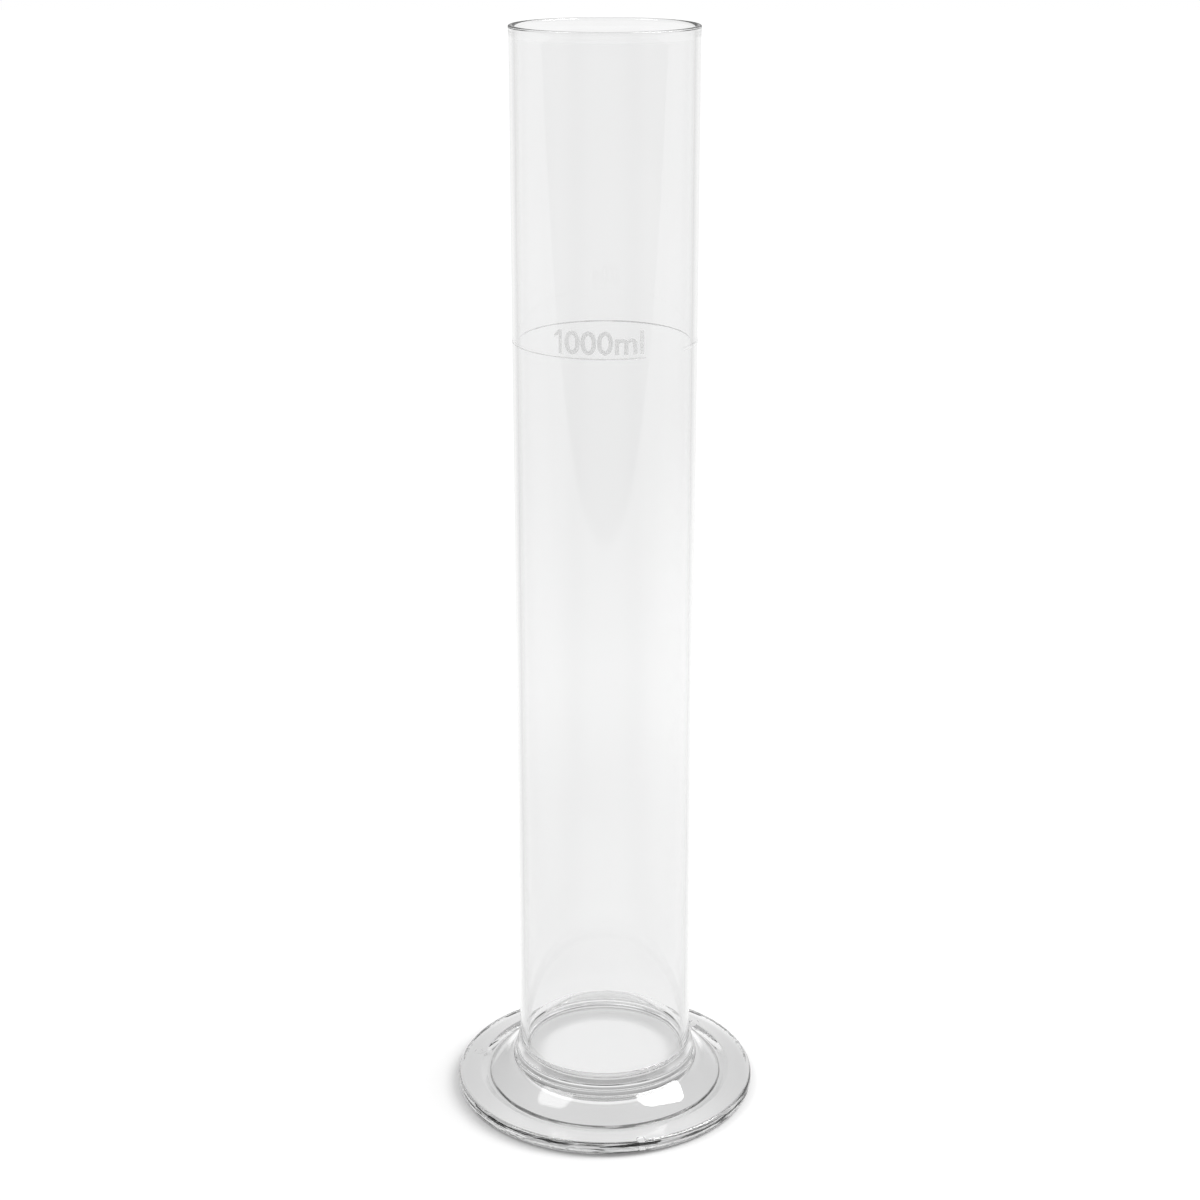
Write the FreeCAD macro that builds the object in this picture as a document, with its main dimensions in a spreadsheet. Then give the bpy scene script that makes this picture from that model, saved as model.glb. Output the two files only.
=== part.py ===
"""One-litre glass cylinder on a pressed glass foot, for hydrometers and settling tests.

Millimetres. The origin is on the table under the middle of the foot, +Z points up, and -Y is the front,
where the capacity line is read.
"""
import FreeCAD, Part
import math
import os
from collections import namedtuple

import Sketcher

# Driving sizes, one cell each, in millimetres and degrees
SIZES = {
    # Vessel
    "capacity_ml": 1000.0,
    "overall_height": 431.0,
    "tube_outer_diameter": 70.0,
    "wall_thickness": 2.3,
    "rim_bead_proud": 0.4,
    "rim_flare_height": 2.0,
    "rim_crown_height": 0.6,
    "floor_height": 17.0,
    "floor_thickness": 4.5,
    "inside_corner_radius": 4.0,
    "bottom_chamfer": 2.0,
    # Foot
    "foot_diameter": 122.0,
    "flange_height": 5.8,
    "flange_edge_bulge": 1.0,
    "collar_wall": 1.5,
    "collar_height": 17.5,
    "neck_height": 3.0,
    "neck_radius": 5.0,
    "dome_run": 11.2,
    "dome_lip_height": 0.7,
    "groove_depth": 1.1,
    "groove_floor_width": 1.2,
    "groove_slope_run": 2.8,
    "foot_floor_thickness": 4.5,
    "dish_inset": 0.7,
    "dish_slope_run": 11.0,
    "pip_height": 0.5,
    "pip_diameter": 3.6,
    "pip_inset": 5.7,
    "pip_count": 3.0,
    "pip_first_angle": 45.0,
    "pip_draft_angle": 20.0,
    # Seam of fused glass
    "weld_height": 4.5,
    # Fired-on line
    "line_width": 0.5,
    "line_film": 0.1,
    "line_gap_angle": 33.0,
    "line_gap_end_angle": -32.0,
}

# Sizes that follow from the cells, each written once
TUBE_RADIUS = "(Sizes.tube_outer_diameter / 2)"
BORE_RADIUS = f"({TUBE_RADIUS} - Sizes.wall_thickness)"
SEAT_HEIGHT = "(Sizes.floor_height - Sizes.floor_thickness)"
BOTTOM_CORNER_RADIUS = f"({TUBE_RADIUS} - Sizes.bottom_chamfer)"
BOTTOM_CORNER_HEIGHT = f"({SEAT_HEIGHT} + Sizes.bottom_chamfer)"
RIM_HALF_WIDTH = "((Sizes.wall_thickness + Sizes.rim_bead_proud) / 2)"
RIM_SHOULDER_HEIGHT = "(Sizes.overall_height - Sizes.rim_crown_height)"
RIM_CROWN_RADIUS = f"(({RIM_HALF_WIDTH} ^ 2 / Sizes.rim_crown_height + Sizes.rim_crown_height) / 2)"
FOOT_RADIUS = "(Sizes.foot_diameter / 2)"
COLLAR_RADIUS = f"({TUBE_RADIUS} + Sizes.collar_wall)"
NECK_FOOT_HEIGHT = "(Sizes.collar_height - Sizes.neck_height)"
DOME_RADIUS = f"({COLLAR_RADIUS} + Sizes.dome_run)"
GROOVE_HEIGHT = "(Sizes.flange_height - Sizes.groove_depth)"
GROOVE_OUTER_RADIUS = f"({DOME_RADIUS} + Sizes.groove_floor_width)"
FLANGE_INNER_RADIUS = f"({GROOVE_OUTER_RADIUS} + Sizes.groove_slope_run)"
FLANGE_FACE_RADIUS = f"({FOOT_RADIUS} - Sizes.flange_edge_bulge)"
FLANGE_HALF_HEIGHT = "((Sizes.flange_height - Sizes.pip_height) / 2)"
FLANGE_EDGE_RADIUS = f"(({FLANGE_HALF_HEIGHT} ^ 2 / Sizes.flange_edge_bulge + Sizes.flange_edge_bulge) / 2)"
DISH_RIM_RADIUS = f"({DOME_RADIUS} - Sizes.dish_inset)"
DISH_CROWN_RADIUS = f"({DISH_RIM_RADIUS} - Sizes.dish_slope_run)"
DISH_CROWN_HEIGHT = f"({SEAT_HEIGHT} - Sizes.foot_floor_thickness)"
PIP_CIRCLE_RADIUS = f"({FOOT_RADIUS} - Sizes.pip_inset)"
WELD_TOP_HEIGHT = "(Sizes.collar_height + Sizes.weld_height)"

# The rounded inside corner takes a little of the bore's volume, so the line stands that much higher.
# A quarter-round corner leaves (1 - pi / 4) of its square, centred 0.2234 of its radius from the wall.
CORNER_SECTION = "((1 - pi / 4) * Sizes.inside_corner_radius ^ 2)"
CORNER_VOLUME = f"(2 * pi * {CORNER_SECTION} * ({BORE_RADIUS} - 0.2234 * Sizes.inside_corner_radius))"
FILL_HEIGHT = f"((Sizes.capacity_ml * 1000 + {CORNER_VOLUME}) / (pi * {BORE_RADIUS} ^ 2))"
LINE_HEIGHT = f"(Sizes.floor_height + {FILL_HEIGHT})"

# The neck's arc runs from the collar into the straight flank of the dome and touches both
DOME_LIP_HEIGHT = f"({GROOVE_HEIGHT} + Sizes.dome_lip_height)"
FLANK_DROP = f"({NECK_FOOT_HEIGHT} - {DOME_LIP_HEIGHT})"
FLANK_LENGTH = f"sqrt(Sizes.dome_run ^ 2 + {FLANK_DROP} ^ 2)"
NECK_ROUND = "min(Sizes.neck_radius; 2 * Sizes.neck_height)"
NECK_REACH = f"({NECK_ROUND} * ({FLANK_LENGTH} - {FLANK_DROP}) / Sizes.dome_run)"

# Which side of its chord an arc bulges to, seen along the direction of travel
LEFT = 1.0
RIGHT = -1.0
TOUCHING = 1e-6

# One corner of a half section; arc_radius is set where the edge that ends here is an arc
Corner = namedtuple("Corner", "name radius height arc_radius side", defaults=(None, LEFT))


def fill_sheet(doc):
    """Put the driving sizes in a sheet, one named cell each."""
    sheet = doc.addObject("Spreadsheet::Sheet", "Sizes")
    for row, (alias, size) in enumerate(SIZES.items(), start=1):
        sheet.set(f"A{row}", alias)
        sheet.set(f"B{row}", str(size))
        sheet.setAlias(f"B{row}", alias)
    doc.recompute()
    return sheet


def measure(owner, formula):
    """Work out a formula of the sheet's sizes."""
    return float(owner.evalExpression(formula))


def origin_part(body, role):
    """Find one of a body's own origin planes or axes."""
    return next(item for item in body.Origin.OriginFeatures if item.Role == role)


def new_body(doc, label):
    """Start a named piece of the cylinder."""
    body = doc.addObject("PartDesign::Body", label)
    body.Label = label
    return body


def new_sketch(body, name, plane):
    """Start a sketch on one of the body's origin planes."""
    sketch = body.newObject("Sketcher::SketchObject", name)
    sketch.AttachmentSupport = [(origin_part(body, plane), "")]
    sketch.MapMode = "FlatFace"
    return sketch


def bind(sketch, constraint, name, formula):
    """Add a dimension to a sketch and tie it to the sheet."""
    index = sketch.addConstraint(constraint)
    sketch.renameConstraint(index, name)
    sketch.setExpression(f"Constraints.{name}", formula)


def arc_crown(start, end, radius, side):
    """Find the middle of the arc of a given radius from start to end."""
    chord = end - start
    half = chord.Length / 2
    rise = radius - math.sqrt(max(radius ** 2 - half ** 2, 0.0))
    across = FreeCAD.Vector(-chord.y, chord.x, 0).normalize()
    return start + chord * 0.5 + across * (side * rise)


def add_edge(sketch, start, end, corner):
    """Draw one line or arc and return its index with the positions of its two ends."""
    if corner.arc_radius is None:
        return sketch.addGeometry(Part.LineSegment(start, end)), 1, 2
    radius = measure(sketch, corner.arc_radius)
    crown = arc_crown(start, end, radius, corner.side)
    # A sketch arc runs counter-clockwise, which is the way of travel when it bulges to the right.
    if corner.side == RIGHT:
        return sketch.addGeometry(Part.Arc(start, crown, end)), 1, 2
    return sketch.addGeometry(Part.Arc(end, crown, start)), 2, 1


def place_point(sketch, edge, position, name, across, up):
    """Hold a sketch point at two formulas, or on an axis where a formula comes to nothing."""
    for kind, suffix, formula, axis in (("DistanceX", "across", across, -2), ("DistanceY", "up", up, -1)):
        size = measure(sketch, formula)
        if abs(size) < TOUCHING:
            sketch.addConstraint(Sketcher.Constraint("PointOnObject", edge, position, axis))
        else:
            bind(sketch, Sketcher.Constraint(kind, -1, 1, edge, position, size), f"{name}_{suffix}", formula)


def draw_section(sketch, corners):
    """Draw a closed half section through its corners, with every corner and arc tied to the sheet."""
    points = [
        FreeCAD.Vector(measure(sketch, corner.radius), measure(sketch, corner.height), 0)
        for corner in corners
    ]
    edges = [add_edge(sketch, points[i - 1], points[i], corner) for i, corner in enumerate(corners)]
    for index, corner in enumerate(corners):
        edge, _, tail = edges[index]
        following, head, _ = edges[(index + 1) % len(edges)]
        sketch.addConstraint(Sketcher.Constraint("Coincident", edge, tail, following, head))
        place_point(sketch, edge, tail, corner.name, corner.radius, corner.height)
        if corner.arc_radius is not None:
            size = measure(sketch, corner.arc_radius)
            bind(sketch, Sketcher.Constraint("Radius", edge, size), f"{corner.name}_arc", corner.arc_radius)


def turn(body, name, corners, sweep="360"):
    """Turn a half section about the vertical axis."""
    sketch = new_sketch(body, f"{name}_section", "XZ_Plane")
    draw_section(sketch, corners)
    feature = body.newObject("PartDesign::Revolution", name)
    feature.Profile = sketch
    feature.ReferenceAxis = (sketch, ["V_Axis"])
    feature.setExpression("Angle", sweep)
    body.Document.recompute()
    return feature


def round_edge(body, name, formula, radius, height):
    """Round the circular edge of a given radius at a given height."""
    base = body.Tip
    wanted = (measure(body, radius), measure(body, height))
    names = [
        f"Edge{number}" for number, edge in enumerate(base.Shape.Edges, start=1)
        if isinstance(edge.Curve, Part.Circle)
        and math.dist((edge.Curve.Radius, edge.Curve.Center.z), wanted) < TOUCHING
    ]
    if len(names) != 1:
        raise RuntimeError(f"{name}: {len(names)} edges found, and not one")
    feature = body.newObject("PartDesign::Fillet", name)
    feature.Base = (base, names)
    feature.setExpression("Radius", formula)
    body.Document.recompute()
    return feature


def make_tube(doc):
    """Drawn tube with a closed flat bottom and a fire-polished rim."""
    body = new_body(doc, "cylinder_tube")
    turn(body, "tube_wall", [
        Corner("bottom_middle", "0", SEAT_HEIGHT),
        Corner("bottom_edge", BOTTOM_CORNER_RADIUS, SEAT_HEIGHT),
        Corner("wall_foot", TUBE_RADIUS, BOTTOM_CORNER_HEIGHT),
        Corner("flare_foot", TUBE_RADIUS, f"{RIM_SHOULDER_HEIGHT} - Sizes.rim_flare_height"),
        Corner("rim_outside", f"{TUBE_RADIUS} + Sizes.rim_bead_proud", RIM_SHOULDER_HEIGHT),
        Corner("rim_inside", BORE_RADIUS, RIM_SHOULDER_HEIGHT, RIM_CROWN_RADIUS, RIGHT),
        Corner("floor_edge", BORE_RADIUS, "Sizes.floor_height"),
        Corner("floor_middle", "0", "Sizes.floor_height"),
    ])
    round_edge(body, "inside_corner", "Sizes.inside_corner_radius", BORE_RADIUS, "Sizes.floor_height")
    return body


def add_pips(body):
    """Standing pips under the flange, moulded with the foot."""
    sketch = new_sketch(body, "pip_section", "XY_Plane")
    across = f"{PIP_CIRCLE_RADIUS} * cos(Sizes.pip_first_angle * 1 deg)"
    along = f"{PIP_CIRCLE_RADIUS} * sin(Sizes.pip_first_angle * 1 deg)"
    centre = FreeCAD.Vector(measure(sketch, across), measure(sketch, along), 0)
    diameter = measure(sketch, "Sizes.pip_diameter")
    circle = sketch.addGeometry(Part.Circle(centre, FreeCAD.Vector(0, 0, 1), diameter / 2))
    place_point(sketch, circle, 3, "pip_centre", across, along)
    bind(sketch, Sketcher.Constraint("Diameter", circle, diameter), "pip_width", "Sizes.pip_diameter")
    pip = body.newObject("PartDesign::Pad", "pip")
    pip.Profile = sketch
    pip.setExpression("Length", "Sizes.pip_height")
    pip.setExpression("TaperAngle", "Sizes.pip_draft_angle")
    body.Document.recompute()
    pattern = body.newObject("PartDesign::PolarPattern", "pip_pattern")
    pattern.Originals = [pip]
    pattern.Axis = (origin_part(body, "Z_Axis"), [""])
    pattern.Angle = 360
    pattern.setExpression("Occurrences", "Sizes.pip_count")
    body.Tip = pattern
    body.Document.recompute()


def make_foot(doc):
    """Pressed foot: socket and collar for the tube, neck, dome, groove, flange, hollow underside, pips."""
    body = new_body(doc, "pressed_foot")
    flank_reach = f"{NECK_REACH} / {FLANK_LENGTH}"
    turn(body, "foot_block", [
        Corner("dish_middle", "0", DISH_CROWN_HEIGHT),
        Corner("dish_crown", DISH_CROWN_RADIUS, DISH_CROWN_HEIGHT),
        Corner("dish_rim", DISH_RIM_RADIUS, "Sizes.pip_height"),
        Corner("flange_bottom", FLANGE_FACE_RADIUS, "Sizes.pip_height"),
        Corner("flange_top", FLANGE_FACE_RADIUS, "Sizes.flange_height", FLANGE_EDGE_RADIUS, RIGHT),
        Corner("flange_inner", FLANGE_INNER_RADIUS, "Sizes.flange_height"),
        Corner("groove_outer", GROOVE_OUTER_RADIUS, GROOVE_HEIGHT),
        Corner("groove_inner", DOME_RADIUS, GROOVE_HEIGHT),
        Corner("dome_lip", DOME_RADIUS, DOME_LIP_HEIGHT),
        Corner(
            "neck_foot",
            f"{COLLAR_RADIUS} + {flank_reach} * Sizes.dome_run",
            f"{NECK_FOOT_HEIGHT} - {flank_reach} * {FLANK_DROP}",
        ),
        Corner("neck_top", COLLAR_RADIUS, f"{NECK_FOOT_HEIGHT} + {NECK_REACH}", NECK_ROUND, LEFT),
        Corner("collar_outside", COLLAR_RADIUS, "Sizes.collar_height"),
        Corner("collar_inside", TUBE_RADIUS, "Sizes.collar_height"),
        Corner("socket_wall", TUBE_RADIUS, BOTTOM_CORNER_HEIGHT),
        Corner("socket_edge", BOTTOM_CORNER_RADIUS, SEAT_HEIGHT),
        Corner("socket_middle", "0", SEAT_HEIGHT),
    ])
    add_pips(body)
    return body


def make_weld(doc):
    """Ring of fused glass in the corner between the tube and the collar."""
    body = new_body(doc, "weld_ring")
    turn(body, "weld_bead", [
        Corner("weld_inside", TUBE_RADIUS, "Sizes.collar_height"),
        Corner("weld_outside", COLLAR_RADIUS, "Sizes.collar_height"),
        Corner("weld_top", TUBE_RADIUS, WELD_TOP_HEIGHT),
    ])
    return body


def make_line(doc):
    """Fired-on capacity line, open at the front right."""
    body = new_body(doc, "graduation_ring")
    line_bottom = f"{LINE_HEIGHT} - Sizes.line_width / 2"
    line_top = f"{LINE_HEIGHT} + Sizes.line_width / 2"
    film_radius = f"{TUBE_RADIUS} + Sizes.line_film"
    turn(body, "line_film", [
        Corner("line_bottom_inside", TUBE_RADIUS, line_bottom),
        Corner("line_bottom_outside", film_radius, line_bottom),
        Corner("line_top_outside", film_radius, line_top),
        Corner("line_top_inside", TUBE_RADIUS, line_top),
    ], "360 - Sizes.line_gap_angle")
    body.Placement.Rotation.Axis = FreeCAD.Vector(0, 0, 1)
    body.setExpression("Placement.Rotation.Angle", "Sizes.line_gap_end_angle * 1 deg")
    return body


def check_pieces(doc, bodies):
    """Stop if any feature failed or any piece isn't one closed solid."""
    doc.recompute()
    failed = [item.Label for item in doc.Objects if {"Invalid", "Error"} & set(item.State)]
    if failed:
        raise RuntimeError(f"failed features: {failed}")
    for body in bodies:
        shape = body.Shape
        if shape.isNull() or not shape.isValid() or len(shape.Solids) != 1:
            raise RuntimeError(f"{body.Label} isn't one valid solid")


def write_pieces(bodies):
    """Write one file for each piece."""
    os.makedirs("parts", exist_ok=True)
    for body in bodies:
        body.Shape.exportStep(f"parts/{body.Label}.step")
        box = body.Shape.BoundBox
        print(f"{body.Label}: {body.Shape.Volume:.0f} cubic mm, z {box.ZMin:.2f} to {box.ZMax:.2f}")


def main():
    """Build the cylinder and write its pieces."""
    doc = FreeCAD.newDocument("glass_cylinder")
    sheet = fill_sheet(doc)
    bodies = [make_tube(doc), make_foot(doc), make_weld(doc), make_line(doc)]
    check_pieces(doc, bodies)
    write_pieces(bodies)
    print(f"capacity line at {measure(sheet, LINE_HEIGHT):.2f} mm above the table")


main()
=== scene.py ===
"""Looks of the one-litre glass cylinder: glass, capacity marking, studio and camera.

Metres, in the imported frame: the origin is on the table under the foot, +Z is up and -Y is the front.
"""
import logging
import math
from dataclasses import dataclass
from enum import Enum
from typing import Any, Optional, Union

import bpy
from bpy.types import Material, Mesh, Node, NodeSocket, NodeTree, Object
from mathutils import Matrix, Vector


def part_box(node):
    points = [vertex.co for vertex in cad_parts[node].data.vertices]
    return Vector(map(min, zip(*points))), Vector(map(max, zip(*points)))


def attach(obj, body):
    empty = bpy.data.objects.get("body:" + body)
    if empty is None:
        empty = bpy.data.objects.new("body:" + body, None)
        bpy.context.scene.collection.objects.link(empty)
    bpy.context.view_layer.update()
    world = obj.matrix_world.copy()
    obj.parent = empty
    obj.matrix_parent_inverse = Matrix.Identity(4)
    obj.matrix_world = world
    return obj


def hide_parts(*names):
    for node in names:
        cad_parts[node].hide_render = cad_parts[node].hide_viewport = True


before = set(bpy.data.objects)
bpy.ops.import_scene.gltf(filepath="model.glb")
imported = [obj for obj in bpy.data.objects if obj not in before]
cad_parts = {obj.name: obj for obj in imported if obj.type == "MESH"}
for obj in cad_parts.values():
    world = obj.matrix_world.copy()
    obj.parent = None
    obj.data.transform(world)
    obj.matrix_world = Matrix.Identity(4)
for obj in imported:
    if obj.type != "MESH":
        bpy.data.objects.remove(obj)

LOG = logging.getLogger("glass_cylinder")
MM = 0.001
BODY = "root"
IMAGE_SIDE = 1200
FULL_TURN = 2 * math.pi
FRONT = -math.pi / 2
TENTH_OF_MM_DIGITS = 4
CAD_RIM_PROUD = 0.4 * MM
NEARLY_NONE = 0.0001

Feed = Union[NodeSocket, Node, Material, float, int, bool, str, tuple]
Feeds = dict[Union[str, int], Feed]
Triple = tuple[float, float, float]


class Ray(Enum):
    """Kinds of ray that the studio answers differently."""

    CAMERA = "Is Camera Ray"
    GLOSSY = "Is Glossy Ray"
    TRANSMISSION = "Is Transmission Ray"


class Input(Enum):
    """Kinds of input that a node tool takes."""

    GEOMETRY = "NodeSocketGeometry"
    NUMBER = "NodeSocketFloat"
    COUNT = "NodeSocketInt"
    MATERIAL = "NodeSocketMaterial"


class Detail(Enum):
    """How fine a cloudy pattern is."""

    SOFT = 2.0
    PLAIN = 3.0
    FINE = 4.0


class Nodes:
    """Adds nodes to a tree and wires them."""

    def __init__(self, tree: NodeTree) -> None:
        """Work on one tree.

        Args:
            tree: The shader or geometry tree to fill.
        """
        self.tree = tree

    def add(self, kind: str, feeds: Optional[Feeds] = None, **settings: Any) -> Node:
        """Add one node.

        Args:
            kind: Blender's name of the node type.
            feeds: Values or sockets for its inputs, by name or index.
            **settings: Properties of the node itself.

        Returns:
            The new node.
        """
        node = self.tree.nodes.new(kind)
        for name, value in settings.items():
            setattr(node, name, value)
        for key, value in (feeds or {}).items():
            self.feed(node.inputs[key], value)
        return node

    def feed(self, socket: NodeSocket, value: Feed) -> None:
        """Set an input to a value, or link it.

        Args:
            socket: The input.
            value: A plain value, a socket, or a node whose first output is taken.
        """
        if isinstance(value, Node):
            value = value.outputs[0]
        if isinstance(value, NodeSocket):
            self.tree.links.new(value, socket)
        else:
            socket.default_value = value

    def math(self, operation: str, *numbers: Feed) -> NodeSocket:
        """Add a sum on numbers or sockets."""
        return self.add("ShaderNodeMath", dict(enumerate(numbers)), operation=operation).outputs[0]

    def times(self, first: Feed, *others: Feed) -> Feed:
        """Multiply numbers or sockets.

        Args:
            first: First of them.
            *others: The rest.

        Returns:
            The product.
        """
        for other in others:
            first = self.math("MULTIPLY", first, other)
        return first

    def ramp(self, value: Feed, low: float, high: float, start: Feed, end: Feed) -> NodeSocket:
        """Go smoothly from one number to another.

        Args:
            value: What is measured.
            low: Where the change begins.
            high: Where the change ends.
            start: Result up to low.
            end: Result from high.

        Returns:
            The result.
        """
        feeds = {"Value": value, "From Min": low, "From Max": high, "To Min": start, "To Max": end}
        return self.add("ShaderNodeMapRange", feeds, interpolation_type="SMOOTHSTEP").outputs[0]

    def vector(self, across: Feed, depth: Feed, up: Feed) -> NodeSocket:
        """Join three numbers into a vector."""
        return self.add("ShaderNodeCombineXYZ", {0: across, 1: depth, 2: up}).outputs[0]

    def split(self, vector: Feed) -> tuple[NodeSocket, ...]:
        """Split a vector into its three numbers."""
        return tuple(self.add("ShaderNodeSeparateXYZ", {0: vector}).outputs)

    def measure(self, operation: str, *vectors: Feed) -> NodeSocket:
        """Add a sum on vectors that gives a number."""
        node = self.add("ShaderNodeVectorMath", dict(enumerate(vectors)), operation=operation)
        return node.outputs["Value"]

    def noise(self, where: Feed, scale: float, detail: Detail) -> Node:
        """Add a cloudy pattern."""
        return self.add("ShaderNodeTexNoise", {"Vector": where, "Scale": scale, "Detail": detail.value})

    def streaks(self, where: Feed, scale: Triple, detail: Detail) -> Node:
        """Add a cloudy pattern with its own density along x, y and z."""
        return self.noise(self.add("ShaderNodeMapping", {"Vector": where, "Scale": scale}), 1.0, detail)

    def blend(self, share: Feed, first: Feed, second: Feed) -> NodeSocket:
        """Mix two colours."""
        return self.add("ShaderNodeMix", {0: share, 6: first, 7: second}, data_type="RGBA").outputs[2]


@dataclass(frozen=True)
class Fade:
    """A smooth change from one level to another.

    Attributes:
        low: Where it begins.
        high: Where it ends.
        start: Level up to low.
        end: Level from high.
    """

    low: float
    high: float
    start: float
    end: float

    def of(self, nodes: Nodes, value: Feed) -> NodeSocket:
        """Apply the change to what is measured."""
        return nodes.ramp(value, self.low, self.high, self.start, self.end)


def new_material(name: str) -> tuple[Material, Nodes, Node]:
    """Start a material.

    Args:
        name: Its name.

    Returns:
        The material, a helper for its tree, and its shader.
    """
    made = bpy.data.materials.new(name)
    made.use_nodes = True
    return made, Nodes(made.node_tree), made.node_tree.nodes["Principled BSDF"]


def add_object(name: str, data: bpy.types.ID) -> Object:
    """Add an object to the scene.

    Args:
        name: Its name.
        data: Its mesh, lamp, camera or text.

    Returns:
        The object.
    """
    made = bpy.data.objects.new(name, data)
    bpy.context.scene.collection.objects.link(made)
    return made


def plain_mesh(source: Object) -> Mesh:
    """Make a plain mesh of what an object shows."""
    bpy.context.view_layer.update()
    return bpy.data.meshes.new_from_object(source.evaluated_get(bpy.context.evaluated_depsgraph_get()))


@dataclass(frozen=True)
class Corner:
    """One corner of a half section.

    Attributes:
        radius: Distance from the axis.
        height: Height above the table.
        rounding: Radius of the arc that rounds the corner.
        joint: Whether the corner lies where two pieces of glass have melted into one.
    """

    radius: float
    height: float
    rounding: float = 0.0
    joint: bool = False

    @property
    def place(self) -> Vector:
        """Give the corner as radius and height."""
        return Vector((self.radius, self.height))


@dataclass
class Section:
    """Half section of a piece turned about the vertical axis, as a chain of corners.

    Attributes:
        corners: The corners, in order, with the glass on their left.
        arc_step: Largest turn between two points of an arc, in radians.
        least_steps: Fewest steps of an arc.
        support: Distance from a rounding at which a straight run gets one more point.
        support_share: Highest share of the straight run that this distance takes.
        least_run: Length past which a straight run gets that point.
        shared_run: Share of a run that a rounding may use where the other end is rounded too.
        own_run: Share that it may use otherwise.
    """

    corners: list[Corner]
    arc_step: float = math.radians(5.0)
    least_steps: int = 2
    support: float = 0.25 * MM
    support_share: float = 0.3
    least_run: float = 0.01 * MM
    shared_run: float = 0.5
    own_run: float = 0.95

    def points(self) -> list[tuple[Vector, bool]]:
        """Walk the section.

        Returns:
            Points as radius and height, each with whether it lies on a melted joint.
        """
        found: list[tuple[Vector, bool]] = []
        for index, corner in enumerate(self.corners):
            places = self._arc(index) if corner.rounding > 0 else [corner.place]
            found += [(point, corner.joint) for point in places]
        return found

    def _room(self, index: int, other: int) -> float:
        """Tell how much of the run between two corners the first may use for its rounding."""
        length = (self.corners[other].place - self.corners[index].place).length
        return length * (self.shared_run if self.corners[other].rounding > 0 else self.own_run)

    def _extra(self, end: Vector, way: Vector, run: float) -> list[Vector]:
        """Give one more point past an arc's end, where the straight run is long enough."""
        return [end + way * min(self.support, self.support_share * run)] if run > self.least_run else []

    def _arc(self, index: int) -> list[Vector]:
        """Round one corner.

        Args:
            index: Which corner.

        Returns:
            Points of the arc, with one more on the straight run before and after it.
        """
        corner = self.corners[index]
        inward = (self.corners[index - 1].place - corner.place).normalized()
        outward = (self.corners[index + 1].place - corner.place).normalized()
        half = inward.angle(outward) / 2
        room_before, room_after = self._room(index, index - 1), self._room(index, index + 1)
        reach = min(corner.rounding / math.tan(half), room_before, room_after)
        centre = corner.place + (inward + outward).normalized() * (reach / math.cos(half))
        start, end = corner.place + inward * reach, corner.place + outward * reach
        first = start - centre
        sweep = -first.angle_signed(end - centre)
        steps = max(self.least_steps, math.ceil(abs(sweep) / self.arc_step))
        arc = []
        for step in range(steps + 1):
            cosine, sine = math.cos(sweep * step / steps), math.sin(sweep * step / steps)
            turned = Vector((first.x * cosine - first.y * sine, first.x * sine + first.y * cosine))
            arc.append(centre + turned)
        before = self._extra(start, inward, room_before - reach)
        return before + arc + self._extra(end, outward, room_after - reach)


def bulge(low: Vector, high: Vector, crown: float, share: float) -> Vector:
    """Give one point of a flank that bulges outwards.

    Args:
        low: Lower end of the flank, as radius and height.
        high: Upper end of the flank.
        crown: How far the middle stands out.
        share: How far up the flank the point lies, from 0 to 1.

    Returns:
        The point.
    """
    along = high - low
    across = Vector((along.y, -along.x)).normalized()
    return low + along * share + across * (4 * crown * share * (1 - share))


@dataclass(frozen=True)
class GlassFinish:
    """Clear glass, with the faint marks of how it was made.

    Attributes:
        name: Name of the material.
        tint: Colour that one wall lets through.
        dim: Share of the tint that clouds in the glass leave.
        index: Refractive index.
        marks_scale: Density of the making marks along x, y and z.
        marks_depth: How deep the marks are.
        cloud_scale: Density of the clouds.
        smears: Roughness by cloud, highest where the surface was handled.
    """

    name: str
    tint: Triple = (0.955, 0.956, 0.956)
    dim: float = 0.985
    index: float = 1.474
    marks_scale: Triple = (40.0, 40.0, 2.0)
    marks_depth: float = 0.003 * MM
    cloud_scale: float = 30.0
    smears: Fade = Fade(0.55, 0.75, 0.0, 0.01)

    def material(self) -> Material:
        """Make the material.

        Returns:
            The glass, on Object coordinates.
        """
        made, nodes, shader = new_material(self.name)
        shader.inputs["Transmission Weight"].default_value = 1.0
        shader.inputs["IOR"].default_value = self.index
        where = nodes.add("ShaderNodeTexCoord").outputs["Object"]
        cloud = nodes.noise(where, self.cloud_scale, Detail.SOFT)
        nodes.feed(shader.inputs["Normal"], self._relief(nodes, where))
        nodes.feed(shader.inputs["Roughness"], self.smears.of(nodes, cloud))
        nodes.feed(shader.inputs["Base Color"], self._colour(nodes, where, cloud))
        return made

    def _relief(self, nodes: Nodes, where: Feed) -> Node:
        """Emboss the making marks."""
        marks = nodes.streaks(where, self.marks_scale, Detail.PLAIN)
        return nodes.add("ShaderNodeBump", {"Height": marks, "Strength": 1.0, "Distance": self.marks_depth})

    def _colour(self, nodes: Nodes, where: Feed, cloud: Feed) -> NodeSocket:
        """Tint the glass, a little unevenly."""
        dim = tuple(self.dim * share for share in self.tint)
        return nodes.blend(cloud, (*self.tint, 1.0), (*dim, 1.0))


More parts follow.
